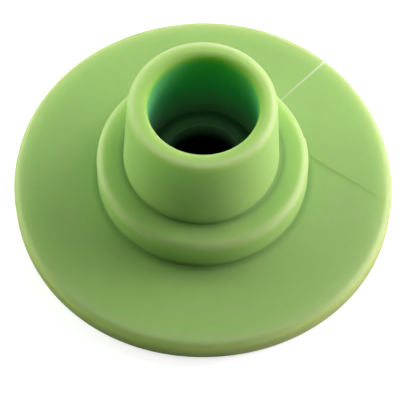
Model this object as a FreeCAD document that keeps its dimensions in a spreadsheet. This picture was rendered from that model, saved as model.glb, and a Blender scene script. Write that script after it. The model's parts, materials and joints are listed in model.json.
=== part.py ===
"""Receiving half of a two-piece button tag: a soft flanged socket moulded round a hard locking ring.

The soft moulding is a flat round flange with a low collar and a tapered, hollow neck standing on it.
A headed pin enters through the flat back and its head is forced through the hard ring in the collar.
The head then sits in the neck's bore and can't come back past the ring's top edge.

Frame: millimetres, +Z along the axis, from the flat back face at Z = 0 to the mouth of the neck.
"""

import FreeCAD, Part
import os

import Sketcher

FULL_TURN = 360.0
SAME_PLACE = 1e-5  # two heights or radii nearer than this are one

# Driving dimensions in millimetres: alias, value, what it sizes.
SIZES = [
    ("flange_diameter", 30.0, "across the round flange"),
    ("flange_thickness", 2.3, "back face to the flange's front face"),
    ("flange_edge_round", 0.6, "rounding of the flange's front edge"),
    ("collar_diameter", 16.5, "across the collar at the neck's foot"),
    ("collar_height", 3.1, "rise of the collar above the flange"),
    ("collar_edge_round", 0.65, "rounding of the collar's top edge"),
    ("neck_foot_diameter", 12.2, "outside of the neck where it leaves the collar"),
    ("neck_mouth_diameter", 11.36, "outside of the neck at its mouth, less by the mould's draft"),
    ("neck_height", 7.4, "rise of the neck above the collar"),
    ("mouth_outer_round", 0.55, "rounding of the mouth's outer edge"),
    ("mouth_inner_round", 0.5, "rounding of the mouth's inner edge"),
    ("mouth_land", 0.1, "least flat left between the mouth's two rounds"),
    ("bore_diameter", 8.4, "straight bore of the neck, where the pin's head ends up"),
    ("ring_floor", 2.9, "back face to the locking ring's underside"),
    ("ring_hole_diameter", 5.9, "hole in the locking ring, less than the pin's head"),
    ("ring_hub_height", 0.9, "height of the ring's narrow top part"),
    ("ring_foot_height", 1.2, "height of the ring's wide foot, which the soft wall traps"),
    ("ring_cover", 0.4, "how far the neck's wall stands over the hub, all round"),
    ("ring_step", 0.8, "how far the foot stands out past the hub, all round"),
    ("ring_lead_in", 0.4, "chamfer that guides the pin's tip into the ring"),
    ("key_count", 6, "keyways round the foot, which the soft material fills"),
    ("key_width", 1.6, "width of a keyway"),
    ("key_depth", 0.5, "depth of a keyway, from the foot's outside"),
    ("entry_clearance", 0.5, "how far the entry stands back from the ring's hole, all round"),
]

# Radii and levels that follow from the driving dimensions.
WORKED_OUT = [
    ("flange_radius", "=flange_diameter / 2"),
    ("collar_radius", "=collar_diameter / 2"),
    ("neck_foot_radius", "=neck_foot_diameter / 2"),
    ("neck_mouth_radius", "=neck_mouth_diameter / 2"),
    ("bore_radius", "=bore_diameter / 2"),
    ("ring_hole_radius", "=ring_hole_diameter / 2"),
    ("entry_radius", "=ring_hole_radius + entry_clearance"),
    ("hub_radius", "=bore_radius + ring_cover"),
    ("foot_radius", "=hub_radius + ring_step"),
    ("keyway_floor_radius", "=foot_radius - key_depth"),
    ("collar_top", "=flange_thickness + collar_height"),
    ("mouth_level", "=collar_top + neck_height"),
    ("hub_bottom", "=ring_floor + ring_foot_height"),
    ("ring_top", "=hub_bottom + ring_hub_height"),
    ("bore_depth", "=mouth_level - ring_top"),
    ("mouth_wall", "=neck_mouth_radius - bore_radius"),
    ("mouth_outer_fillet", "=min(mouth_outer_round; (mouth_wall - mouth_land) / 2)"),
    ("mouth_inner_fillet", "=min(mouth_inner_round; mouth_wall - mouth_land - mouth_outer_fillet)"),
]


def make_sheet(doc):
    """The spreadsheet that holds the driving dimensions and what is worked out from them."""
    sheet = doc.addObject("Spreadsheet::Sheet", "Sizes")
    rows = [(alias, str(value), note) for alias, value, note in SIZES]
    rows += [(alias, formula, "worked out") for alias, formula in WORKED_OUT]
    for number, (alias, content, note) in enumerate(rows, start=1):
        sheet.set(f"A{number}", alias)
        sheet.set(f"B{number}", content)
        sheet.set(f"C{number}", note)
        sheet.setAlias(f"B{number}", alias)
    doc.recompute()
    return sheet


def origin_plane(body, role):
    """One of the body's own origin planes, such as XZ_Plane."""
    return next(plane for plane in body.Origin.OriginFeatures if plane.Role == role)


def new_sketch(body, name, role, level=None):
    """An empty sketch on an origin plane, or lifted off it to a level of the sheet."""
    sketch = body.newObject("Sketcher::SketchObject", name)
    sketch.AttachmentSupport = [(origin_plane(body, role), "")]
    sketch.MapMode = "FlatFace"
    if level:
        sketch.setExpression("AttachmentOffset.Base.z", f"Sizes.{level}")
    return sketch


def hold_corner(sketch, line, across, alias, value):
    """Ties the start of a line to the sheet along one direction, or to the axis if it has no alias."""
    direction, axis = ("DistanceX", -2) if across else ("DistanceY", -1)
    if alias is None:
        sketch.addConstraint(Sketcher.Constraint("PointOnObject", line, 1, axis))
        return
    index = sketch.addConstraint(Sketcher.Constraint(direction, -1, 1, line, 1, value))
    sketch.setExpression(f"Constraints[{index}]", f"Sizes.{alias}")


def half_section(body, name, sheet, corners):
    """A closed half section; a corner is (radius, level), each an alias, or None for nothing."""
    sketch = new_sketch(body, name, "XZ_Plane")
    places = [[getattr(sheet, alias) if alias else 0.0 for alias in corner] for corner in corners]
    points = [FreeCAD.Vector(float(radius), float(level), 0.0) for radius, level in places]
    for start, end in zip(points, points[1:] + points[:1]):
        sketch.addGeometry(Part.LineSegment(start, end), False)
    for line in range(len(points)):
        following = (line + 1) % len(points)
        sketch.addConstraint(Sketcher.Constraint("Coincident", line, 2, following, 1))
    for line, (corner, point) in enumerate(zip(corners, points)):
        hold_corner(sketch, line, True, corner[0], point.x)
        hold_corner(sketch, line, False, corner[1], point.y)
    return sketch


def circle_sketch(body, name, sheet, radius, level=None):
    """A circle about the axis, with its radius from the sheet."""
    sketch = new_sketch(body, name, "XY_Plane", level)
    value = float(getattr(sheet, radius))
    sketch.addGeometry(Part.Circle(FreeCAD.Vector(), FreeCAD.Vector(0, 0, 1), value), False)
    sketch.addConstraint(Sketcher.Constraint("Coincident", 0, 3, -1, 1))
    index = sketch.addConstraint(Sketcher.Constraint("Radius", 0, value))
    sketch.setExpression(f"Constraints[{index}]", f"Sizes.{radius}")
    return sketch


def turn(body, name, sketch):
    """The solid swept by a half section turned once round the axis."""
    solid = body.newObject("PartDesign::Revolution", name)
    solid.Profile = sketch
    solid.ReferenceAxis = (sketch, ["V_Axis"])
    solid.Angle = FULL_TURN
    sketch.Document.recompute()
    return solid


def cut(body, name, sketch, depth, upward=False):
    """A pocket from the sketch's plane, down to a depth of the sheet, or up; it must remove material."""
    before = body.Shape.Volume
    pocket = body.newObject("PartDesign::Pocket", name)
    pocket.Profile = sketch
    pocket.Reversed = upward
    pocket.setExpression("Length", f"Sizes.{depth}")
    sketch.Document.recompute()
    if body.Shape.Volume > before - SAME_PLACE:
        raise RuntimeError(f"{name} cuts nothing")
    return pocket


def round_edge(body, radius, level, sheet):
    """The name of the body's full-circle edge at a radius and a level of the sheet."""
    wanted_radius = float(getattr(sheet, radius))
    wanted_level = float(getattr(sheet, level)) if level else 0.0
    for number, edge in enumerate(body.Shape.Edges, start=1):
        curve = edge.Curve
        if isinstance(curve, Part.Circle) and edge.isClosed():
            off = abs(curve.Radius - wanted_radius) + abs(curve.Center.z - wanted_level)
            if off < SAME_PLACE:
                return f"Edge{number}"
    raise RuntimeError(f"{body.Name} has no round edge at {radius}, {level}")


def soften(body, kind, name, size, places, sheet):
    """A fillet or chamfer of one size on each of the body's round edges at (radius, level)."""
    base = body.Tip
    edges = [round_edge(body, radius, level, sheet) for radius, level in places]
    feature = body.newObject(f"PartDesign::{kind}", name)
    feature.Base = (base, edges)
    feature.setExpression("Radius" if kind == "Fillet" else "Size", f"Sizes.{size}")
    body.Document.recompute()
    return feature


def make_moulding(doc, sheet):
    """The soft moulding with its bore and entry, before the locking ring takes its place in it."""
    body = doc.addObject("PartDesign::Body", "Moulding")
    outline = [
        (None, None),
        ("flange_radius", None),
        ("flange_radius", "flange_thickness"),
        ("collar_radius", "flange_thickness"),
        ("collar_radius", "collar_top"),
        ("neck_foot_radius", "collar_top"),
        ("neck_mouth_radius", "mouth_level"),
        (None, "mouth_level"),
    ]
    turn(body, "FlangeCollarNeck", half_section(body, "OutsideSection", sheet, outline))
    bore = circle_sketch(body, "BoreCircle", sheet, "bore_radius", "mouth_level")
    cut(body, "Bore", bore, "bore_depth")
    entry = circle_sketch(body, "EntryCircle", sheet, "entry_radius")
    cut(body, "Entry", entry, "ring_top", upward=True)

    front_edge = [("flange_radius", "flange_thickness")]
    soften(body, "Fillet", "FlangeFrontRound", "flange_edge_round", front_edge, sheet)
    collar_edge = [("collar_radius", "collar_top")]
    soften(body, "Fillet", "CollarRound", "collar_edge_round", collar_edge, sheet)
    outer_edge = [("neck_mouth_radius", "mouth_level")]
    soften(body, "Fillet", "MouthOuterRound", "mouth_outer_fillet", outer_edge, sheet)
    inner_edge = [("bore_radius", "mouth_level")]
    soften(body, "Fillet", "MouthInnerRound", "mouth_inner_fillet", inner_edge, sheet)
    return body


def keyway_sketch(body, sheet):
    """A keyway's plan: a rectangle that straddles the X axis, from the keyway's floor outward."""
    sketch = new_sketch(body, "KeywayPlan", "XY_Plane", "ring_floor")
    floor = float(sheet.keyway_floor_radius)
    outside = floor + 2.0 * float(sheet.key_depth)
    half = float(sheet.key_width) / 2.0
    corners = [(floor, -half), (outside, -half), (outside, half), (floor, half)]
    points = [FreeCAD.Vector(x, y, 0.0) for x, y in corners]
    for start, end in zip(points, points[1:] + points[:1]):
        sketch.addGeometry(Part.LineSegment(start, end), False)
    for line in range(4):
        sketch.addConstraint(Sketcher.Constraint("Coincident", line, 2, (line + 1) % 4, 1))
    for line, kind in enumerate(["Horizontal", "Vertical", "Horizontal"]):
        sketch.addConstraint(Sketcher.Constraint(kind, line))
    sketch.addConstraint(Sketcher.Constraint("Symmetric", 3, 1, 3, 2, -1))
    measures = [
        (Sketcher.Constraint("DistanceX", -1, 1, 0, 1, floor), "Sizes.keyway_floor_radius"),
        (Sketcher.Constraint("DistanceX", 0, 1, 0, 2, outside - floor), "2 * Sizes.key_depth"),
        (Sketcher.Constraint("DistanceY", 1, 1, 1, 2, 2.0 * half), "Sizes.key_width"),
    ]
    for constraint, formula in measures:
        index = sketch.addConstraint(constraint)
        sketch.setExpression(f"Constraints[{index}]", formula)
    return sketch


def make_locking_ring(doc, sheet):
    """The hard ring: a hub under the bore and a wider, keyed foot that the soft wall traps."""
    body = doc.addObject("PartDesign::Body", "LockingRing")
    section = [
        ("ring_hole_radius", "ring_floor"),
        ("foot_radius", "ring_floor"),
        ("foot_radius", "hub_bottom"),
        ("hub_radius", "hub_bottom"),
        ("hub_radius", "ring_top"),
        ("ring_hole_radius", "ring_top"),
    ]
    turn(body, "HubAndFoot", half_section(body, "RingSection", sheet, section))
    tip_edge = [("ring_hole_radius", "ring_floor")]
    soften(body, "Chamfer", "LeadIn", "ring_lead_in", tip_edge, sheet)

    keyway = cut(body, "Keyway", keyway_sketch(body, sheet), "ring_foot_height", upward=True)
    pattern = body.newObject("PartDesign::PolarPattern", "Keyways")
    pattern.Originals = [keyway]
    pattern.Axis = (origin_plane(body, "Z_Axis"), [""])
    pattern.Angle = FULL_TURN
    pattern.setExpression("Occurrences", "Sizes.key_count")
    body.Tip = pattern
    doc.recompute()
    return body


def mould_round(doc, moulding, ring):
    """The soft moulding with the locking ring's own shape left out of it, as overmoulding leaves it."""
    button = doc.addObject("Part::Cut", "SoftButton")
    button.Base = moulding
    button.Tool = ring
    doc.recompute()
    return button


def check(doc, parts):
    """Stops if a feature failed or a sub-part isn't one valid solid."""
    failed = [f.Name for f in doc.Objects if {"Invalid", "Error"} & set(f.State)]
    if failed:
        raise RuntimeError(f"these features failed: {failed}")
    for part in parts:
        shape = part.Shape
        if shape.isNull() or not shape.isValid() or len(shape.Solids) != 1:
            raise RuntimeError(f"{part.Label} isn't one valid solid")


def main():
    doc = FreeCAD.newDocument("FlangedSocketButton")
    sheet = make_sheet(doc)
    moulding = make_moulding(doc, sheet)
    ring = make_locking_ring(doc, sheet)
    ring.Label = "locking_ring"
    button = mould_round(doc, moulding, ring)
    button.Label = "soft_button"
    parts = [button, ring]
    check(doc, parts)

    os.makedirs("parts", exist_ok=True)
    for part in parts:
        part.Shape.exportStep(f"parts/{part.Label}.step")
        box = part.Shape.BoundBox
        print(f"{part.Label}: {part.Shape.Volume:.2f} mm3, Z {box.ZMin:.3f} to {box.ZMax:.3f}")


main()
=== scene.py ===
"""Flanged socket button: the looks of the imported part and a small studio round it.

A soft green moulding (flange, collar, neck) is lathed from one closed section, with the fine witness lines
that the mould leaves on it, and a hard ring sits at the foot of its bore.
"""

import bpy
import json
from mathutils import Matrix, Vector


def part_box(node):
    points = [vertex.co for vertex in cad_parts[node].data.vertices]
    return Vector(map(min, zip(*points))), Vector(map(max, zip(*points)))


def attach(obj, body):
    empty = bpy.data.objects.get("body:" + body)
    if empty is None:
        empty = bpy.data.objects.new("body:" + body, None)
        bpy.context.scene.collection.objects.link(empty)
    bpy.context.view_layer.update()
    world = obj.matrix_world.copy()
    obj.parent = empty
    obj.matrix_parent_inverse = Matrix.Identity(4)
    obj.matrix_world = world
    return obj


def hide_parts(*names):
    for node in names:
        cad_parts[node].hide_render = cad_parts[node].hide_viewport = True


bl_info = {
    "name": "Flanged Socket Button",
    "version": (1, 0, 0),
    "blender": (4, 5, 0),
    "location": "3D View > Sidebar > Button",
    "description": "Makes the moulded button, its locking ring and the studio",
    "category": "Add Mesh",
}

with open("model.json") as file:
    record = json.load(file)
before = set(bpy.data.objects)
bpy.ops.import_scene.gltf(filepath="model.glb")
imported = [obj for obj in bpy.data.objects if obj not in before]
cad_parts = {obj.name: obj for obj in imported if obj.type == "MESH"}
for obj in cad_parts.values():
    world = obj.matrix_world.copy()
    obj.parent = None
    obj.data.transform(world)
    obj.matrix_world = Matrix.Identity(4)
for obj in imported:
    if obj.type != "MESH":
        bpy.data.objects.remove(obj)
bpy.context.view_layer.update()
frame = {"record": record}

import json
from math import atan2, cos, degrees, hypot, pi, radians, sin

import bmesh
import bpy
from bpy.props import FloatProperty, FloatVectorProperty, PointerProperty
from bpy.types import Operator, Panel, PropertyGroup
from mathutils import Vector

MM = 0.001

# What the frame says: boxes of the two nodes and the stated bores.
BUTTON_LOW, BUTTON_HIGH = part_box("soft_button")
RING_LOW, RING_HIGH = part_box("locking_ring")
BORES = {mount["name"]: mount["dims"] for mount in frame["record"]["mounts"] if mount["kind"] == "bore"}
FLANGE_RADIUS = BUTTON_HIGH.x
MOUTH_LEVEL = BUTTON_HIGH.z
RING_FLOOR, RING_TOP = RING_LOW.z, RING_HIGH.z
FOOT_RADIUS = RING_HIGH.x
BORE_RADIUS = BORES["neck_bore"]["r_mm"] * MM
RING_HOLE_RADIUS = BORES["pin_bore"]["r_mm"] * MM


def length(name, description, millimetres):
    """A length property, stored in metres, with its default given in millimetres."""
    return FloatProperty(name=name, description=description, default=millimetres * MM, min=0.0,
                         precision=5, subtype="DISTANCE", unit="LENGTH")


def colour(name, description, red, green, blue):
    """A colour property."""
    return FloatVectorProperty(name=name, description=description, default=(red, green, blue),
                               min=0.0, max=1.0, size=3, subtype="COLOR")


def angle(name, description, turn):
    """An angle property, with its default given in degrees."""
    return FloatProperty(name=name, description=description, default=radians(turn),
                         subtype="ANGLE", unit="ROTATION")


def factor(name, description, default, low=0.0, high=1.0):
    """A plain number with limits."""
    return FloatProperty(name=name, description=description, default=default, min=low, max=high)


class ButtonSizes(PropertyGroup):
    """Sizes of the moulding that the frame's boxes and bores don't give."""

    flange_thickness: length("Flange thickness", "Thickness of the flange at the collar", 2.5)
    rim_thickness: length("Rim thickness", "Thickness of the flange at its rim", 2.1)
    flange_round: length("Flange round", "Rounding of the flange's front edge", 0.6)
    back_round: length("Back round", "Rounding of the flange's back edge", 0.4)
    collar_radius: length("Collar radius", "Radius of the low collar", 8.25)
    collar_top: length("Collar top", "Level of the collar's top face", 5.4)
    collar_round: length("Collar round", "Rounding of the collar's edge", 0.65)
    neck_foot_radius: length("Neck foot radius", "Radius of the neck where it leaves the collar", 6.1)
    neck_mouth_radius: length("Neck mouth radius", "Radius of the neck at its mouth", 5.68)
    mouth_outer_round: length("Mouth outer round", "Rounding of the mouth's outer edge", 0.55)
    mouth_inner_round: length("Mouth inner round", "Rounding of the mouth's inner edge", 0.5)
    collar_lean: length("Collar lean", "How far the collar stands off the axis, to the left", 0.05)
    neck_lean: length("Neck lean", "How far the neck's foot stands off the axis, to the left", 0.15)
    mouth_lean: length("Mouth lean", "How far the mouth's outside stands off the axis, to the left", 0.06)
    neck_oval: FloatProperty(name="Neck oval", description="Share by which the neck is wider along Y",
                             default=0.01, min=-0.1, max=0.1)
    collar_recess: length("Collar recess", "How far the collar stands back between the lines", 0.08)
    root_round: length("Root round", "Radius in the corners at the feet of neck and collar", 0.1)
    entry_clearance: length("Entry clearance", "Gap round the pin's way in, past the ring's hole", 0.5)
    ring_step: length("Ring step", "How far the ring's foot stands out past its hub", 0.8)
    ring_hub_height: length("Ring hub height", "Height of the ring's narrow top part", 0.9)
    ring_edge_round: length("Ring edge round", "Rounding of the edge round the ring's hole", 0.15)
    ring_lead_in: length("Ring lead-in", "Chamfer on the ring's underside", 0.4)


class WitnessLines(PropertyGroup):
    """The thin raised sector that a mould insert leaves on the flange, between a bright and a dark line.
    The bright line's pale colour is a painted highlight and the dark line's deep colour is painted shade.
    """

    recess_start: angle("Recess start", "Where the collar's recess begins, at the dark line", 12.0)
    recess_end: angle("Recess end", "Where the collar's recess ends, near the bright line", 44.5)
    bright_turn: angle("Bright line", "Where the bright, radial line lies round the axis", 47.4)
    bright_rise_in: length("Bright rise, inner", "Height of the bright line's step at the collar", 0.004)
    bright_rise_out: length("Bright rise, outer", "Height of the bright line's step at the rim", 0.045)
    dark_rise_in: length("Dark rise, inner", "Height of the dark line's step at the collar", 0.040)
    dark_rise_out: length("Dark rise, outer", "Height of the dark line's step at the rim", 0.015)
    line_width: length("Line width", "Width over which each step rises", 0.12)
    bright_width_in: length("Bright width, inner", "Half width of the pale line at the collar", 0.10)
    bright_width_out: length("Bright width, outer", "Half width of the pale line at the rim", 0.18)
    bright_strength_in: factor("Bright strength, inner", "How pale the bright line is at the collar", 0.35)
    bright_strength_out: factor("Bright strength, outer", "How pale the bright line is at the rim", 1.0)
    dark_width: length("Dark width", "Half width of the shaded line", 0.20)
    dark_strength_in: factor("Dark strength, inner", "How deep the shaded line is at the collar", 1.0)
    dark_strength_out: factor("Dark strength, outer", "How deep the shaded line is at the rim", 0.2)


class ButtonFinish(PropertyGroup):
    """Colours and surface of the two materials."""

    elastomer: colour("Elastomer", "Colour of the soft moulding", 0.391, 0.662, 0.175)
    # Painted highlights: the edge and mouth edge colours are paler tones that stand in for highlights and
    # glow on convex edges.
    edge: colour("Edge", "Paler colour of thin, convex edges", 0.435, 0.635, 0.23)
    mouth_highlight: colour("Mouth edge", "Palest colour, round the mouth's outer edge", 0.48, 0.68, 0.282)
    # Painted light: side is a warmer, paler tone on the flange's side in place of the light that falls
    # there.
    side: colour("Side", "Warmer colour of the flange's side", 0.51, 0.735, 0.195)
    # Painted shade: root darkens the corners at the feet of neck and collar.
    root: colour("Root", "Deeper colour in the corners at the feet of neck and collar", 0.262, 0.475, 0.138)
    # Painted highlight along the bright witness line and painted shade along the dark one.
    bright_line_highlight: colour("Bright line", "Pale colour of the bright witness line", 0.70, 0.82, 0.56)
    dark_line_shade: colour("Dark line", "Deep colour along the dark witness line", 0.33, 0.57, 0.13)
    # Painted light and shade down the bore: lip glow is a painted glow of light through the lip, and the
    # bore's greens and foot colour are painted shade.
    lip_glow: colour("Lip glow", "Strong colour where light comes through the lip", 0.31, 0.64, 0.085)
    bore_shade: colour("Bore", "Deeper colour of the bore's wall", 0.145, 0.585, 0.165)
    bore_middle: colour("Bore middle", "Colour half way down the bore", 0.135, 0.52, 0.235)
    bore_deep: colour("Bore foot", "Colour at the foot of the bore", 0.33, 0.36, 0.31)
    ring: colour("Ring", "Colour of the hard ring", 0.48, 0.45, 0.42)
    # Painted shade in the corner between the ring and the bore's wall.
    ring_corner_shade: colour("Ring outer", "Deeper colour of the ring next to the bore's wall", 0.20, 0.24, 0.19)
    # Reaches of the painted highlights, the side's painted tone and the roots' painted shade.
    rim_reach: length("Rim reach", "How far the paler edge colour reaches from the flange's rim", 1.8)
    collar_reach: length("Collar reach", "How far it reaches from the collar's edge", 1.0)
    mouth_reach: length("Mouth reach", "How far the palest colour reaches at the mouth's outer edge", 0.45)
    side_reach: length("Side reach", "How far the side's colour reaches in from the rim", 0.3)
    collar_root_reach: length("Collar root reach", "How far the root colour reaches at its foot", 0.7)
    neck_root_reach: length("Neck root reach", "How far it reaches from the neck's foot", 0.6)
    roughness: factor("Roughness", "Roughness of the elastomer", 0.5)
    mottle: factor("Mottle", "How far slow mottling shifts the elastomer's colour", 0.06)
    grain: factor("Grain", "Strength of the fine grain's relief", 0.12)
    scatter: length("Scatter", "How far green light spreads inside the elastomer", 3.4)


class StudioSettings(PropertyGroup):
    """Camera, lamps and floor."""

    elevation: angle("Camera elevation", "Height of the camera above the horizon", 60.70)
    distance: length("Camera distance", "Camera to the point it looks at", 150.0)
    aim_side: FloatProperty(name="Aim side", description="Sideways place of the point looked at",
                            default=-0.248 * MM, subtype="DISTANCE", unit="LENGTH", precision=5)
    aim_level: FloatProperty(name="Aim level", description="Level of the point looked at",
                             default=-1.78 * MM, subtype="DISTANCE", unit="LENGTH", precision=5)
    lens: factor("Lens", "Focal length in millimetres on a 36 mm sensor", 166.8, 20.0, 400.0)
    ambient: factor("Ambient", "Strength of the even light from all round", 0.0, 0.0, 2.0)


# ---------------------------------------------------------------- sections and lathed meshes


def arc(centre, radius, start, end, steps):
    """Points on an arc of a section, as (radius, level), from one angle to another in degrees."""
    turns = [radians(start + (end - start) * step / steps) for step in range(steps + 1)]
    return [(centre[0] + radius * cos(turn), centre[1] + radius * sin(turn)) for turn in turns]


def run(start, end, pitch):
    """Points along a straight stretch of a section, without its ends, at most a pitch apart."""
    steps = max(1, round(hypot(end[0] - start[0], end[1] - start[1]) / pitch))
    shares = [step / steps for step in range(1, steps)]
    return [(start[0] + (end[0] - start[0]) * s, start[1] + (end[1] - start[1]) * s) for s in shares]


def join(stretches, pitch):
    """A closed section from its stretches, with the gaps between them filled by straight runs."""
    section = []
    for number, stretch in enumerate(stretches):
        section += stretch
        following = stretches[(number + 1) % len(stretches)]
        section += run(stretch[-1], following[0], pitch)
    return section


def lathe(name, section, turns, shift=None, shares=None, marks=None):
    """A closed mesh swept by a closed section round the axis.

    Shift may move each point. For the material, shares gives named values to each point of the section, and
    marks gives named functions of a place.
    """
    mesh = bmesh.new()
    rings = []
    plain = []
    for turn in turns:
        places = [(radius * cos(turn), radius * sin(turn), level) for radius, level in section]
        plain += places
        if shift:
            places = [shift(*place) for place in places]
        rings.append([mesh.verts.new(place) for place in places])
    count = len(section)
    for ring, following in zip(rings, rings[1:] + rings[:1]):
        for point in range(count):
            after = (point + 1) % count
            mesh.faces.new((ring[point], following[point], following[after], ring[after]))
    bmesh.ops.recalc_face_normals(mesh, faces=mesh.faces)
    for face in mesh.faces:
        face.smooth = True
    data = bpy.data.meshes.new(name)
    mesh.to_mesh(data)
    mesh.free()
    for share, values in (shares or {}).items():
        data.attributes.new(share, "FLOAT", "POINT").data.foreach_set("value", values * len(turns))
    for mark, strength in (marks or {}).items():
        values = [strength(*place) for place in plain]
        data.attributes.new(mark, "FLOAT", "POINT").data.foreach_set("value", values)
    piece = bpy.data.objects.new(name, data)
    bpy.context.scene.collection.objects.link(piece)
    return piece


def smooth(value):
    """0 below 0, 1 above 1, and an even S between."""
    share = min(max(value, 0.0), 1.0)
    return share * share * (3.0 - 2.0 * share)


def mix(low, high, share):
    """A value between two."""
    return low + (high - low) * share


# ---------------------------------------------------------------- the moulding's form

# The dark line runs straight across the flange, between these two places given as shares of its radius.
DARK_LINE_START = (0.560, 0.108)
DARK_LINE_END = (0.985, -0.170)

# How far apart the points of a section's straight runs may stand.
MOULDING_PITCH = 0.12 * MM
RING_PITCH = 0.3 * MM
RING_COLUMNS = 180

# The soft flange isn't quite round. Each row gives a wave's count round the rim, and its cosine and sine
# shares of the radius.
FLANGE_WAVES = [(0, -0.0018, 0.0), (2, 0.0016, -0.0012), (3, -0.0011, -0.0021), (4, -0.0024, -0.0019)]


def moulding_section(sizes):
    """The moulding's closed section, from the entry in the back round the outside and down the bore."""
    top, rim_top, rim = sizes.flange_thickness, sizes.rim_thickness, FLANGE_RADIUS
    fall = degrees((top - rim_top) / (rim - sizes.collar_radius))
    entry = RING_HOLE_RADIUS + sizes.entry_clearance
    hub_bottom = RING_TOP - sizes.ring_hub_height
    hub = FOOT_RADIUS - sizes.ring_step
    back, edge, root = sizes.back_round, sizes.flange_round, sizes.root_round
    collar, shoulder = sizes.collar_radius, sizes.collar_round
    outer, inner = sizes.mouth_outer_round, sizes.mouth_inner_round
    lean = degrees((sizes.neck_foot_radius - sizes.neck_mouth_radius) / (MOUTH_LEVEL - sizes.collar_top))
    neck_root = (sizes.neck_foot_radius + root, sizes.collar_top + root)
    mouth_outer = (sizes.neck_mouth_radius - outer, MOUTH_LEVEL - outer)
    stretches = [
        [(entry, 0.0)],
        arc((rim - back, back), back, -90, 0, 5),
        arc((rim - edge, rim_top - edge), edge, 0, 90 - fall, 12),
        arc((collar + root, top + root), root, 270, 180, 5),
        arc((collar - shoulder, sizes.collar_top - shoulder), shoulder, 0, 90, 12),
        arc(neck_root, root, 270, 180 + lean, 5),
        arc(mouth_outer, outer, lean, 90, 9),
        arc((BORE_RADIUS + inner, MOUTH_LEVEL - inner), inner, 90, 180, 10),
        [(BORE_RADIUS, RING_TOP)],
        [(hub, RING_TOP)],
        [(hub, hub_bottom)],
        [(FOOT_RADIUS, hub_bottom)],
        [(FOOT_RADIUS, RING_FLOOR)],
        [(entry, RING_FLOOR)],
    ]
    return join(stretches, MOULDING_PITCH)


def nearness(section, rings):
    """For each point of a section, 1 at the nearest of some rings and 0 beyond its reach.

    A ring is given as (radius, level, reach).
    """
    return [max(smooth(1.0 - hypot(radius - ring[0], level - ring[1]) / ring[2]) for ring in rings)
            for radius, level in section]


def moulding_shares(sizes, finish, section):
    """How strongly each point of the section takes the painted highlights of the edges and the mouth, the
    painted shade of the roots and the side's painted warmer tone.
    """
    rim, top, collar = FLANGE_RADIUS, sizes.flange_thickness, sizes.collar_radius
    edges = [(rim, sizes.rim_thickness, finish.rim_reach), (collar, sizes.collar_top, finish.collar_reach)]
    crest = sizes.neck_mouth_radius - 0.7 * sizes.mouth_outer_round
    mouth_highlight = [(crest, MOUTH_LEVEL, finish.mouth_reach)]
    root_shade_rings = [(collar, top, finish.collar_root_reach),
             (sizes.neck_foot_radius, sizes.collar_top, finish.neck_root_reach)]
    side = [smooth(1.0 - (rim - radius) / finish.side_reach) for radius, level in section]
    return {"edge": nearness(section, edges), "mouth_highlight": nearness(section, mouth_highlight),
            "root": nearness(section, root_shade_rings), "side": side}


def moulding_turns(lines):
    """Where the moulding's columns stand round the axis: close together where fine lines cross them."""
    coarse, fine, margin = radians(1.5), radians(0.2), 0.03
    dark_line_shade = (radians(-12.0), radians(16.0))
    bright_line_highlight = (lines.recess_end - margin, lines.bright_turn + margin)
    turns, turn = [], -pi
    while turn < pi - 0.5 * fine:
        turns.append(turn)
        near = any(low <= turn < high for low, high in (dark_line_shade, bright_line_highlight))
        turn += fine if near else coarse
    return turns


def rim_stretch(sizes, x, y):
    """How much wider than round the flange is at a place, from nothing at the collar to all at the rim."""
    radius = hypot(x, y)
    turn = atan2(y, x)
    wave = sum(even * cos(count * turn) + odd * sin(count * turn) for count, even, odd in FLANGE_WAVES)
    return 1.0 + wave * smooth((radius - sizes.collar_radius) / (FLANGE_RADIUS - sizes.collar_radius))


def recess_share(sizes, lines, x, y, z):
    """How far a place on the collar's outside lies in the sector that stands back, from 0 to 1."""
    if not sizes.flange_thickness < z <= sizes.collar_top:
        return 0.0
    turn, ease = atan2(y, x), radians(0.7)
    inside = smooth((turn - lines.recess_start) / ease) * smooth((lines.recess_end - turn) / ease)
    start = sizes.collar_radius - 2.0 * sizes.collar_round
    return inside * smooth((hypot(x, y) - start) / (sizes.collar_radius - start))


def moulding_shift(sizes, lines):
    """A function that gives the lathed moulding its small unevennesses."""
    lift = sector_lift(sizes, lines)

    def shift(x, y, z):
        stretch = rim_stretch(sizes, x, y)
        radius = hypot(x, y)
        outside = smooth((radius - BORE_RADIUS) / (sizes.neck_mouth_radius - BORE_RADIUS) * 2.0)
        on_neck = smooth((z - sizes.collar_top) / sizes.root_round) * outside
        up_neck = (z - sizes.collar_top) / (MOUTH_LEVEL - sizes.collar_top)
        collar_share = smooth((radius - FOOT_RADIUS) / (sizes.collar_radius - FOOT_RADIUS) * 2.0)
        flange_share = 1.0 - smooth((radius - sizes.collar_radius) / (FLANGE_RADIUS - sizes.collar_radius))
        on_collar = collar_share * flange_share * smooth(z / sizes.flange_thickness)
        lean = mix(sizes.collar_lean * on_collar, mix(sizes.neck_lean, sizes.mouth_lean, up_neck), on_neck)
        oval = sizes.neck_oval * on_neck
        stretch *= 1.0 - sizes.collar_recess / sizes.collar_radius * recess_share(sizes, lines, x, y, z)
        return x * stretch * (1.0 - oval) - lean, y * stretch * (1.0 + oval), z + lift(x, y, z)

    return shift


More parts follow.
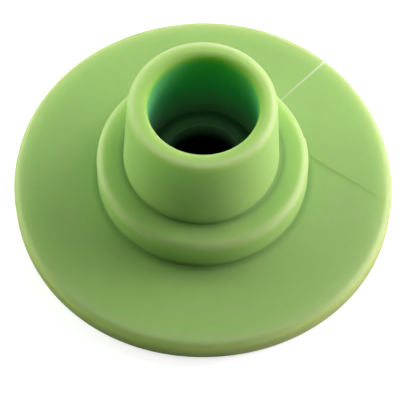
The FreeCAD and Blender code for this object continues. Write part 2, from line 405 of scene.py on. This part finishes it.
def sector_lift(sizes, lines):
    """A function that lifts the flange's front face between the bright and the dark line."""
    start = Vector(DARK_LINE_START) * FLANGE_RADIUS
    along = (Vector(DARK_LINE_END) * FLANGE_RADIUS - start).normalized()
    radial = Vector((cos(lines.bright_turn), sin(lines.bright_turn)))
    inside, outside = sizes.collar_radius, FLANGE_RADIUS
    level_low, level_high = sizes.rim_thickness - sizes.flange_round, sizes.collar_top - sizes.collar_round

    def lift(x, y, z):
        if not level_low < z < level_high:
            return 0.0
        point = Vector((x, y))
        past_dark = along.x * (y - start.y) - along.y * (x - start.x)
        before_bright = radial.y * x - radial.x * y
        if past_dark < -lines.line_width or before_bright < -lines.line_width or point.dot(radial) < 0:
            return 0.0
        out = (point.length - inside) / (outside - inside)
        between = past_dark / max(past_dark + before_bright, 1e-9)
        dark = mix(lines.dark_rise_in, lines.dark_rise_out, out)
        bright = mix(lines.bright_rise_in, lines.bright_rise_out, out)
        edges = smooth(past_dark / lines.line_width + 0.5) * smooth(before_bright / lines.line_width + 0.5)
        upright = smooth((z - level_low) / sizes.flange_round)
        return mix(dark, bright, min(max(between, 0.0), 1.0)) * edges * upright

    return lift


def line_marks(sizes, lines):
    """Functions that say how strongly a place takes the bright line's painted highlight and the dark line's
    painted shade.
    """
    start = Vector(DARK_LINE_START) * FLANGE_RADIUS
    along = (Vector(DARK_LINE_END) * FLANGE_RADIUS - start).normalized()
    radial = Vector((cos(lines.bright_turn), sin(lines.bright_turn)))
    level_low = sizes.rim_thickness - 0.3 * sizes.flange_round
    level_high = sizes.flange_thickness + sizes.root_round

    def outward(x, y):
        return (hypot(x, y) - sizes.collar_radius) / (FLANGE_RADIUS - sizes.collar_radius)

    def bright(x, y, z):
        if not level_low < z < level_high or x * radial.x + y * radial.y < 0:
            return 0.0
        out = outward(x, y)
        width = mix(lines.bright_width_in, lines.bright_width_out, out)
        strength = mix(lines.bright_strength_in, lines.bright_strength_out, out)
        return strength * smooth(1.0 - abs(radial.y * x - radial.x * y) / width)

    def dark(x, y, z):
        if not level_low < z < level_high or x < 0:
            return 0.0
        across = along.x * (y - start.y) - along.y * (x - start.x)
        strength = mix(lines.dark_strength_in, lines.dark_strength_out, outward(x, y))
        # The dark line's painted shade reaches three times as far outside the raised sector as inside it.
        reach = lines.dark_width if across > 0 else 3.0 * lines.dark_width
        return strength * smooth(1.0 - abs(across) / reach)

    return {"bright_line_highlight": bright, "dark_line_shade": dark}


def ring_section(sizes):
    """The locking ring's closed section: a stepped ring with a lead-in and an eased catching edge."""
    hub_bottom = RING_TOP - sizes.ring_hub_height
    hub = FOOT_RADIUS - sizes.ring_step
    ease, lead = sizes.ring_edge_round, sizes.ring_lead_in
    stretches = [
        [(RING_HOLE_RADIUS + lead, RING_FLOOR)],
        [(FOOT_RADIUS, RING_FLOOR)],
        [(FOOT_RADIUS, hub_bottom)],
        [(hub, hub_bottom)],
        [(hub, RING_TOP)],
        arc((RING_HOLE_RADIUS + ease, RING_TOP - ease), ease, 90, 180, 6),
        [(RING_HOLE_RADIUS, RING_FLOOR + lead)],
    ]
    return join(stretches, RING_PITCH)


# ---------------------------------------------------------------- materials

# Painted shade: the black at the bore's foot and in the ring's hole.
SHADE_BLACK = (0.003, 0.004, 0.003)

# Scales of each plastic's slow mottling and fine grain, and the height of the grain.
ELASTOMER_MOTTLE, ELASTOMER_GRAIN = 260.0, 9000.0
RING_MOTTLE, RING_GRAIN = 700.0, 14000.0
GRAIN_HEIGHT = 0.02 * MM

# The colours laid over the outside, in this order, each where the mesh has a share of the same name. All
# are painted light: highlights on the edges, the mouth and the bright line, a warmer tone on the side, and
# shade in the roots and along the dark line.
OUTSIDE_SHARES = ("edge", "mouth_highlight", "side", "root", "dark_line_shade", "bright_line_highlight")

# The colours down the bore, each with its place from the mouth (0) to the ring's top (1). They are painted
# light and shade: a painted glow below the lip, then deeper greens as painted shade, then painted black
# just past the ring's top.
BORE_STOPS = [("elastomer", 0.0), ("lip_glow", 0.04), ("bore_shade", 0.13), ("bore_middle", 0.5),
              ("bore_deep", 1.0)]
BORE_END = 1.02

# Where the bore's painted glow and shade and the lip's dull surface begin and are full, as shares of the
# mouth's inner rounding past the bore's radius.
BORE_BEGINS, BORE_FULL = 0.9, 0.1
DULL_BEGINS, DULL_FULL = 1.2, 0.7

# Specular level and subsurface weight, each on the open surface and where it is dull.
SPECULAR_LEVELS = (0.5, 0.0)
SCATTER_WEIGHTS = (1.0, 0.4)

# How far red, green and blue light spread inside the elastomer, as shares of the scatter length.
SCATTER_SHARES = (1.0, 1.0, 0.6)
ROUGHNESS_SWING = 0.04

# The ring: the share of its colour left in the darkest mottling, the depths between which its hole turns
# black as painted shade, and how far from the hole and from the bore's wall its outer colour, painted shade
# in the corner by the wall, begins and is full.
RING_DARKEST = 0.75
HOLE_SHADE_DEPTHS = (0.2 * MM, 2.0 * MM)
CORNER_SHADE_MARGINS = (0.4 * MM, 0.2 * MM)
RING_GRAIN_STRENGTH = 0.2
RING_ROUGHNESS = (0.4, 0.55)


def add(tree, kind, inputs=None, **settings):
    """Adds a node, sets its own settings and the values of its sockets."""
    node = tree.nodes.new(kind)
    for name, value in settings.items():
        setattr(node, name, value)
    for socket, value in (inputs or {}).items():
        node.inputs[socket].default_value = value
    return node


def measure(tree, source, low, high, out_low=0.0, out_high=1.0):
    """A smooth step of a value between two limits."""
    limits = {"From Min": low, "From Max": high, "To Min": out_low, "To Max": out_high}
    node = add(tree, "ShaderNodeMapRange", limits, interpolation_type="SMOOTHSTEP")
    tree.links.new(source, node.inputs["Value"])
    return node.outputs["Result"]


def blend(tree, share, first, second):
    """Mixes two colours by a share. Each colour is a socket or fixed."""
    node = add(tree, "ShaderNodeMix", data_type="RGBA")
    tree.links.new(share, node.inputs[0])
    # The colours' own sockets: 6 and 7 going in, 2 coming out.
    for socket, value in ((node.inputs[6], first), (node.inputs[7], second)):
        if isinstance(value, bpy.types.NodeSocket):
            tree.links.new(value, socket)
        else:
            socket.default_value = value
    return node.outputs[2]


def moulded_grain():
    """A node group both plastics use: slow mottling and fine grain, as values from 0 to 1."""
    group = bpy.data.node_groups.get("moulded_grain")
    if group:
        return group
    group = bpy.data.node_groups.new("moulded_grain", "ShaderNodeTree")
    face = group.interface
    face.new_socket("Place", in_out="INPUT", socket_type="NodeSocketVector")
    face.new_socket("Mottle Scale", in_out="INPUT", socket_type="NodeSocketFloat")
    face.new_socket("Grain Scale", in_out="INPUT", socket_type="NodeSocketFloat")
    face.new_socket("Mottle", in_out="OUTPUT", socket_type="NodeSocketFloat")
    face.new_socket("Grain", in_out="OUTPUT", socket_type="NodeSocketFloat")
    start, end = group.nodes.new("NodeGroupInput"), group.nodes.new("NodeGroupOutput")
    mottle = add(group, "ShaderNodeTexNoise", {"Detail": 2.0, "Roughness": 0.5})
    grain = add(group, "ShaderNodeTexNoise", {"Detail": 2.0, "Roughness": 0.6})
    for texture, scale in ((mottle, "Mottle Scale"), (grain, "Grain Scale")):
        group.links.new(start.outputs["Place"], texture.inputs["Vector"])
        group.links.new(start.outputs[scale], texture.inputs["Scale"])
    group.links.new(measure(group, mottle.outputs["Fac"], 0.1, 0.9), end.inputs["Mottle"])
    group.links.new(measure(group, grain.outputs["Fac"], 0.25, 0.75), end.inputs["Grain"])
    return group


def new_material(name, mottle_scale, grain_scale, grain_strength):
    """A node material: a Principled shader with the shared grain as its relief."""
    material = bpy.data.materials.new(name)
    material.use_nodes = True
    tree = material.node_tree
    tree.nodes.clear()
    output = tree.nodes.new("ShaderNodeOutputMaterial")
    shader = tree.nodes.new("ShaderNodeBsdfPrincipled")
    place = tree.nodes.new("ShaderNodeTexCoord").outputs["Object"]
    grain = add(tree, "ShaderNodeGroup", node_tree=moulded_grain())
    grain.inputs["Mottle Scale"].default_value = mottle_scale
    grain.inputs["Grain Scale"].default_value = grain_scale
    relief = add(tree, "ShaderNodeBump", {"Strength": grain_strength, "Distance": GRAIN_HEIGHT})
    tree.links.new(place, grain.inputs["Place"])
    tree.links.new(grain.outputs["Grain"], relief.inputs["Height"])
    tree.links.new(relief.outputs["Normal"], shader.inputs["Normal"])
    tree.links.new(shader.outputs["BSDF"], output.inputs["Surface"])
    return material, tree, shader, place, grain


def from_axis(tree, place):
    """How far a place is from the axis, and its level."""
    split = tree.nodes.new("ShaderNodeSeparateXYZ")
    flat = tree.nodes.new("ShaderNodeCombineXYZ")
    away = add(tree, "ShaderNodeVectorMath", operation="LENGTH")
    tree.links.new(place, split.inputs[0])
    tree.links.new(split.outputs["X"], flat.inputs["X"])
    tree.links.new(split.outputs["Y"], flat.inputs["Y"])
    tree.links.new(flat.outputs[0], away.inputs[0])
    return away.outputs["Value"], split.outputs["Z"]


def bore_colour(tree, level, finish):
    """The colour down the bore, all painted light and shade: a painted glow below the lip, then a deeper
    green as painted shade, then dull at the foot and painted black past it.
    """
    depth = add(tree, "ShaderNodeMapRange", {"From Min": MOUTH_LEVEL, "From Max": 0.0})
    tree.links.new(level, depth.inputs["Value"])
    foot = 1.0 - RING_TOP / MOUTH_LEVEL
    stops = [(getattr(finish, name), place) for name, place in BORE_STOPS] + [(SHADE_BLACK, BORE_END)]
    ramp = tree.nodes.new("ShaderNodeValToRGB")
    for _ in stops[2:]:
        ramp.color_ramp.elements.new(0.5)
    for element, (shade, place) in zip(ramp.color_ramp.elements, stops):
        element.position, element.color = place * foot, (*shade, 1.0)
    tree.links.new(depth.outputs["Result"], ramp.inputs["Fac"])
    return ramp.outputs["Color"]


def outside_colour(tree, mottle, finish):
    """The mottled green outside, with the shares of edges, roots, side and witness lines laid over it as
    painted light: highlights on the edges and the bright line, a warmer tone on the side, shade in the
    roots and along the dark line.
    """
    full = tuple(part * (1.0 - finish.mottle) for part in finish.elastomer)
    skin = blend(tree, mottle, (*finish.elastomer, 1.0), (*full, 1.0))
    for share in OUTSIDE_SHARES:
        strength = add(tree, "ShaderNodeAttribute", attribute_name=share)
        skin = blend(tree, strength.outputs["Fac"], skin, (*getattr(finish, share), 1.0))
    return skin


def elastomer_material(finish, sizes):
    """The soft green moulding: pale and scattering outside, with painted highlights and shade laid over it,
    duller down the bore and a deeper green there as painted shade.
    """
    material, tree, shader, place, grain = new_material(
        "green_elastomer", ELASTOMER_MOTTLE, ELASTOMER_GRAIN, finish.grain)
    away, level = from_axis(tree, place)
    mottle, inner = grain.outputs["Mottle"], sizes.mouth_inner_round
    inside = measure(tree, away, BORE_RADIUS + BORE_BEGINS * inner, BORE_RADIUS + BORE_FULL * inner)
    skin, bore = outside_colour(tree, mottle, finish), bore_colour(tree, level, finish)
    tree.links.new(blend(tree, inside, skin, bore), shader.inputs["Base Color"])
    low, high = finish.roughness - ROUGHNESS_SWING, finish.roughness + ROUGHNESS_SWING
    tree.links.new(measure(tree, mottle, 0.0, 1.0, low, high), shader.inputs["Roughness"])
    lip = measure(tree, away, BORE_RADIUS + DULL_BEGINS * inner, BORE_RADIUS + DULL_FULL * inner)
    # The roots' painted shade also turns the surface dull there.
    root_shade = add(tree, "ShaderNodeAttribute", attribute_name="root")
    dull = add(tree, "ShaderNodeMath", operation="MAXIMUM")
    tree.links.new(lip, dull.inputs[0])
    tree.links.new(root_shade.outputs["Fac"], dull.inputs[1])
    for socket, ends in (("Specular IOR Level", SPECULAR_LEVELS), ("Subsurface Weight", SCATTER_WEIGHTS)):
        tree.links.new(measure(tree, dull.outputs[0], 0.0, 1.0, *ends), shader.inputs[socket])
    shader.inputs["Subsurface Radius"].default_value = SCATTER_SHARES
    shader.inputs["Subsurface Scale"].default_value = finish.scatter
    return material


def ring_material(finish):
    """The hard ring at the foot of the bore, with painted shade in its hole and in the corner by the bore's
    wall.
    """
    material, tree, shader, place, grain = new_material(
        "ring_plastic", RING_MOTTLE, RING_GRAIN, RING_GRAIN_STRENGTH)
    dark = tuple(part * RING_DARKEST for part in finish.ring)
    away, level = from_axis(tree, place)
    # Painted shade: the hole turns black below the ring's top.
    low = measure(tree, level, RING_TOP - HOLE_SHADE_DEPTHS[0], RING_TOP - HOLE_SHADE_DEPTHS[1])
    # Painted shade in the corner next to the bore's wall.
    outer = measure(tree, away, RING_HOLE_RADIUS + CORNER_SHADE_MARGINS[0], BORE_RADIUS - CORNER_SHADE_MARGINS[1])
    skin = blend(tree, grain.outputs["Mottle"], (*finish.ring, 1.0), (*dark, 1.0))
    skin = blend(tree, outer, skin, (*finish.ring_corner_shade, 1.0))
    tree.links.new(blend(tree, low, skin, (*SHADE_BLACK, 1.0)), shader.inputs["Base Color"])
    rough = measure(tree, grain.outputs["Grain"], 0.0, 1.0, *RING_ROUGHNESS)
    tree.links.new(rough, shader.inputs["Roughness"])
    return material


def dress(piece, material, slot, *nodes):
    """Gives a piece its material, puts it on the one body and lets it stand for its CAD nodes."""
    piece.data.materials.append(material)
    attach(piece, "root")
    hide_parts(*nodes)


# ---------------------------------------------------------------- operators


class MakeSoftButton(Operator):
    """Make the soft moulding"""

    bl_idname = "socket_button.make_moulding"
    bl_label = "Soft Moulding"

    def execute(self, context):
        scene = context.scene
        sizes, lines, finish = scene.button_sizes, scene.witness_lines, scene.button_finish
        section, turns = moulding_section(sizes), moulding_turns(lines)
        piece = lathe("soft_moulding", section, turns, moulding_shift(sizes, lines),
                      moulding_shares(sizes, finish, section), line_marks(sizes, lines))
        dress(piece, elastomer_material(finish, sizes), "soft_green_elastomer", "soft_button")
        return {"FINISHED"}


class MakeLockingRing(Operator):
    """Make the hard ring at the foot of the bore"""

    bl_idname = "socket_button.make_ring"
    bl_label = "Locking Ring"

    def execute(self, context):
        scene = context.scene
        turns = [2.0 * pi * step / RING_COLUMNS for step in range(RING_COLUMNS)]
        piece = lathe("hard_ring", ring_section(scene.button_sizes), turns)
        dress(piece, ring_material(scene.button_finish), "hard_green_plastic", "locking_ring")
        return {"FINISHED"}


# ---------------------------------------------------------------- studio

# Soft boxes: name, degrees round the axis from the viewer's side, degrees up, watts and tint.
LAMPS = [
    ("right_softbox", 90, 12, 0.7, (1.09, 0.94, 1.06)),
    ("back_right_softbox", 120, 35, 0.6, (1.01, 0.94, 1.08)),
    ("left_softbox", 240, 12, 0.53, (0.97, 0.98, 0.97)),
    ("side_left_softbox", 270, 12, 0.165, (0.99, 1.11, 0.84)),
    ("back_softbox", 180, 35, 0.165, (1.02, 0.84, 1.16)),
    ("left_high_softbox", 240, 35, 0.158, (0.99, 1.10, 0.85)),
    ("right_high_softbox", 90, 35, 0.055, (1.0, 1.0, 1.0)),
    ("back_high_softbox", 180, 62, 0.024, (1.0, 1.0, 1.0)),
]
LAMP_DISTANCE = 0.30
LAMP_SIDE = 0.20

# The floor: its half side, the gap under the object, how strongly it glows and how white it is past the
# flange, and how much more it glows between two distances from the axis.
FLOOR_HALF = 2.0
FLOOR_GAP = 0.02 * MM
FLOOR_GLOW = 0.8
FLOOR_WHITE = 0.6
FAR_GLOW = 0.25
FAR_DISTANCES = (0.06, 0.2)


def aim(thing, place, target):
    """Puts a lamp or the camera somewhere and turns it to look at a point."""
    thing.location = place
    thing.rotation_euler = (Vector(target) - Vector(place)).to_track_quat("-Z", "Y").to_euler()


def from_angles(turn, elevation, distance):
    """A place seen from the axis at an angle round it (0 is the viewer's side) and an elevation."""
    flat = distance * cos(elevation)
    return Vector((flat * sin(turn), -flat * cos(turn), distance * sin(elevation)))


def softbox(name, turn, elevation, power, tint):
    """A square area lamp that looks at the object's middle."""
    lamp = bpy.data.lights.new(name, "AREA")
    lamp.shape = "SQUARE"
    lamp.size = LAMP_SIDE
    lamp.energy = power
    lamp.color = tint
    thing = bpy.data.objects.new(name, lamp)
    bpy.context.scene.collection.objects.link(thing)
    place = from_angles(radians(turn), radians(elevation), LAMP_DISTANCE)
    aim(thing, place, (0.0, 0.0, MOUTH_LEVEL / 2))


def floor_material():
    """White to the camera with the object's faint shadow, and painted dark as shade where the flange covers
    it.

    It glows a little more far off, where the lamps' light runs out.
    """
    material = bpy.data.materials.new("floor_white")
    material.use_nodes = True
    tree = material.node_tree
    tree.nodes.clear()
    output = tree.nodes.new("ShaderNodeOutputMaterial")
    diffuse = tree.nodes.new("ShaderNodeBsdfDiffuse")
    tone = add(tree, "ShaderNodeMapRange", {"From Max": FLOOR_GLOW, "To Max": FLOOR_WHITE})
    glow = tree.nodes.new("ShaderNodeEmission")
    path = tree.nodes.new("ShaderNodeLightPath")
    place = tree.nodes.new("ShaderNodeNewGeometry")
    away = add(tree, "ShaderNodeVectorMath", operation="LENGTH")
    # Under the flange the floor neither glows nor reflects: painted shade, seen through the hole.
    limits = {"From Min": FLANGE_RADIUS * 0.9, "From Max": FLANGE_RADIUS, "To Max": FLOOR_GLOW}
    clear = add(tree, "ShaderNodeMapRange", limits)
    limits = {"From Min": FAR_DISTANCES[0], "From Max": FAR_DISTANCES[1], "To Max": FAR_GLOW}
    far = add(tree, "ShaderNodeMapRange", limits)
    total = add(tree, "ShaderNodeMath", operation="ADD")
    strength = add(tree, "ShaderNodeMath", operation="MULTIPLY")
    both = tree.nodes.new("ShaderNodeAddShader")
    tree.links.new(place.outputs["Position"], away.inputs[0])
    tree.links.new(away.outputs["Value"], clear.inputs["Value"])
    tree.links.new(away.outputs["Value"], far.inputs["Value"])
    tree.links.new(clear.outputs["Result"], total.inputs[0])
    tree.links.new(far.outputs["Result"], total.inputs[1])
    tree.links.new(total.outputs["Value"], strength.inputs[0])
    tree.links.new(clear.outputs["Result"], tone.inputs["Value"])
    tree.links.new(tone.outputs["Result"], diffuse.inputs["Color"])
    tree.links.new(path.outputs["Is Camera Ray"], strength.inputs[1])
    tree.links.new(strength.outputs["Value"], glow.inputs["Strength"])
    tree.links.new(diffuse.outputs["BSDF"], both.inputs[0])
    tree.links.new(glow.outputs["Emission"], both.inputs[1])
    tree.links.new(both.outputs["Shader"], output.inputs["Surface"])
    return material


class MakeStudio(Operator):
    """Make the floor, lamps, world and camera"""

    bl_idname = "socket_button.make_studio"
    bl_label = "Studio"

    def execute(self, context):
        scene = context.scene
        studio = scene.button_studio
        scene.view_settings.view_transform = "Standard"
        self.make_floor(scene)
        self.make_world(scene, studio.ambient)
        self.make_lamps()
        self.make_camera(scene, studio)
        return {"FINISHED"}

    def make_floor(self, scene):
        half = FLOOR_HALF
        data = bpy.data.meshes.new("floor")
        corners = [(-half, -half, 0), (half, -half, 0), (half, half, 0), (-half, half, 0)]
        data.from_pydata(corners, [], [(0, 1, 2, 3)])
        floor = bpy.data.objects.new("floor", data)
        floor.location.z = BUTTON_LOW.z - FLOOR_GAP
        data.materials.append(floor_material())
        scene.collection.objects.link(floor)

    def make_world(self, scene, ambient):
        world = bpy.data.worlds.new("studio")
        scene.world = world
        world.use_nodes = True
        tree = world.node_tree
        tree.nodes.clear()
        output = tree.nodes.new("ShaderNodeOutputWorld")
        even = add(tree, "ShaderNodeBackground", {"Strength": ambient})
        white = add(tree, "ShaderNodeBackground", {"Color": (1.0, 1.0, 1.0, 1.0)})
        path = tree.nodes.new("ShaderNodeLightPath")
        choose = tree.nodes.new("ShaderNodeMixShader")
        tree.links.new(path.outputs["Is Camera Ray"], choose.inputs["Fac"])
        tree.links.new(even.outputs["Background"], choose.inputs[1])
        tree.links.new(white.outputs["Background"], choose.inputs[2])
        tree.links.new(choose.outputs["Shader"], output.inputs["Surface"])

    def make_lamps(self):
        for name, turn, elevation, power, tint in LAMPS:
            softbox(name, turn, elevation, power, tint)

    def make_camera(self, scene, studio):
        camera = bpy.data.cameras.new("camera")
        camera.lens = studio.lens
        camera.sensor_width = 36.0
        camera.clip_start = 0.01
        thing = bpy.data.objects.new("camera", camera)
        scene.collection.objects.link(thing)
        target = Vector((studio.aim_side, 0.0, studio.aim_level))
        aim(thing, target + from_angles(0.0, studio.elevation, studio.distance), target)
        scene.camera = thing


class ButtonPanel(Panel):
    """Lists the button's makers and their settings"""

    bl_idname = "VIEW3D_PT_socket_button"
    bl_label = "Flanged Socket Button"
    bl_space_type = "VIEW_3D"
    bl_region_type = "UI"
    bl_category = "Button"

    def draw(self, context):
        for group in GROUPS:
            box = self.layout.box()
            settings = getattr(context.scene, group)
            for name in settings.bl_rna.properties.keys():
                if name not in {"rna_type", "name"}:
                    box.prop(settings, name)
        for maker in MAKERS:
            self.layout.operator(maker.bl_idname)


GROUPS = {
    "button_sizes": ButtonSizes,
    "witness_lines": WitnessLines,
    "button_finish": ButtonFinish,
    "button_studio": StudioSettings,
}
MAKERS = [MakeSoftButton, MakeLockingRing, MakeStudio]
CLASSES = [*GROUPS.values(), *MAKERS, ButtonPanel]


def register():
    for cls in CLASSES:
        bpy.utils.register_class(cls)
    for name, cls in GROUPS.items():
        setattr(bpy.types.Scene, name, PointerProperty(type=cls))


def unregister():
    for name in GROUPS:
        delattr(bpy.types.Scene, name)
    for cls in reversed(CLASSES):
        bpy.utils.unregister_class(cls)


def main():
    register()
    bpy.ops.socket_button.make_studio()
    bpy.ops.socket_button.make_moulding()
    bpy.ops.socket_button.make_ring()


if __name__ == "__main__":
    main()
